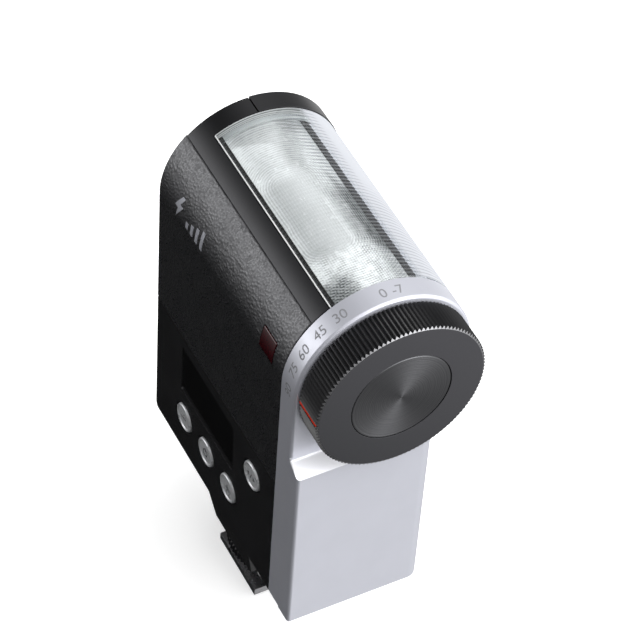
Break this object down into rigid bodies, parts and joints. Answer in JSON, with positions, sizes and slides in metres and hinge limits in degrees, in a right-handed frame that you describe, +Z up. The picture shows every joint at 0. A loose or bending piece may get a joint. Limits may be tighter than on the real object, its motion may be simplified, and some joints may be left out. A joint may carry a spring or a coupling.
{
  "type": "speedlight flash",
  "caption": "Compact shoe-mount flash: horizontal barrel head that tilts behind a fixed ribbed cover by a side knob, rear display and buttons, battery door and a shoe foot with lock wheel.",
  "frame": {"origin": "centre of the shoe foot's underside", "axes": "+Z up through the body, +Y towards the subject (the way the foot slides into a shoe), +X towards the tilt knob"},
  "size_m": [0.0745, 0.0421, 0.116],
  "materials": {
    "black_plastic": "satin moulded",
    "front_plastic": "satin moulded",
    "leatherette": "grained, slight sheen",
    "silver_paint": "fine satin silver",
    "clear_lens": "clear, ribbed",
    "gloss_black": "high gloss",
    "dark_component": "matt",
    "knob_metal": "dark anodised satin",
    "disc_metal": "dark anodised, spun",
    "index_red": "satin enamel",
    "red_window": "dark red, glossy, translucent",
    "button_silver": "satin silver",
    "circuit_board": "solder mask",
    "copper_winding": "enamelled copper",
    "steel": "bright",
    "contact_brass": "gold plated",
    "mirror_reflector": "bright aluminised",
    "tube_glass": "clear",
    "silicone": "matt",
    "white_plastic": "satin white",
    "capacitor_sleeve": "shrink sleeve",
    "cell_sleeve": "printed sleeve without text",
    "flex_cable": "polyimide film"
  },
  "bodies": {
    "case": {"rear_shell": "black_plastic", "foot_pedestal": "black_plastic", "battery_tray": "black_plastic", "front_shell": "front_plastic", "rear_leather": "leatherette", "front_leather": "leatherette", "side_leather": "leatherette", "side_panel": "silver_paint", "lens_cover": "clear_lens", "display_window": "gloss_black", "display_module": "dark_component", "slave_sensor": "dark_component", "key_switch_left": "dark_component", "key_switch_middle": "dark_component", "key_switch_right": "dark_component", "key_switch_side": "dark_component", "sensor_window": "red_window", "control_board": "circuit_board", "power_board": "circuit_board", "charge_transformer": "copper_winding", "detent_spring": "steel", "case_screw_left": "steel", "case_screw_right": "steel", "foot_screw_left": "steel", "foot_screw_right": "steel", "door_hinge_pin": "steel", "cell_contact_lower": "steel", "cell_contact_upper": "steel", "shoe_foot": "steel", "bush_left": "white_plastic", "bush_right": "white_plastic", "main_capacitor": "capacitor_sleeve", "battery_cell_lower": "cell_sleeve", "battery_cell_upper": "cell_sleeve", "head_cable": "flex_cable"},
    "head": {"head_drum": "white_plastic", "reflector": "mirror_reflector", "flash_tube": "tube_glass", "tube_boot_left": "silicone", "tube_boot_right": "silicone", "trigger_board": "circuit_board", "trigger_coil": "copper_winding", "tilt_shaft": "steel", "detent_wheel": "steel", "tilt_knob": "knob_metal", "knob_index": "index_red", "knob_disc": "disc_metal", "knob_screw": "steel"},
    "button_left": {"button_left": "button_silver"},
    "button_middle": {"button_middle": "button_silver"},
    "button_right": {"button_right": "button_silver"},
    "button_side": {"button_side": "button_silver"},
    "battery_door": {"battery_door": "black_plastic", "door_contact": "steel"},
    "lock_wheel": {"lock_wheel": "knob_metal"},
    "shoe_clamp": {"clamp_plate": "steel", "lock_pin": "steel"},
    "centre_contact": {"contact_centre": "contact_brass"}
  },
  "joints": [
    {"name": "head_tilt", "type": "hinge", "parent": "case", "child": "head", "pos_m": [0, 0.0035, 0.095], "axis": [-1, 0, 0], "range_deg": [0, 97], "deforming": ["detent_spring"]},
    {"name": "press_left", "type": "slide", "parent": "case", "child": "button_left", "axis": [0, 1, 0], "range_m": [0, 0.0006]},
    {"name": "press_middle", "type": "slide", "parent": "case", "child": "button_middle", "axis": [0, 1, 0], "range_m": [0, 0.0006]},
    {"name": "press_right", "type": "slide", "parent": "case", "child": "button_right", "axis": [0, 1, 0], "range_m": [0, 0.0006]},
    {"name": "press_side", "type": "slide", "parent": "case", "child": "button_side", "axis": [0, 1, 0], "range_m": [0, 0.0006]},
    {"name": "door_swing", "type": "hinge", "parent": "case", "child": "battery_door", "pos_m": [-0.03385, 0.006, 0.0262], "axis": [0, -1, 0], "range_deg": [0, 90]},
    {"name": "lock_turn", "type": "hinge", "parent": "case", "child": "lock_wheel", "pos_m": [0, 0, 0.0075], "axis": [0, 0, -1], "range_deg": [0, 270]},
    {"name": "clamp_down", "type": "slide", "parent": "case", "child": "shoe_clamp", "axis": [0, 0, -1], "range_m": [0, 0.001]},
    {"name": "contact_spring_travel", "type": "slide", "parent": "case", "child": "centre_contact", "axis": [0, 0, 1], "range_m": [-0.0004, 0]}
  ],
  "couplings": [
    {"joint": "clamp_down", "follows": "lock_turn", "m_per_rad": 0.000212}
  ]
}
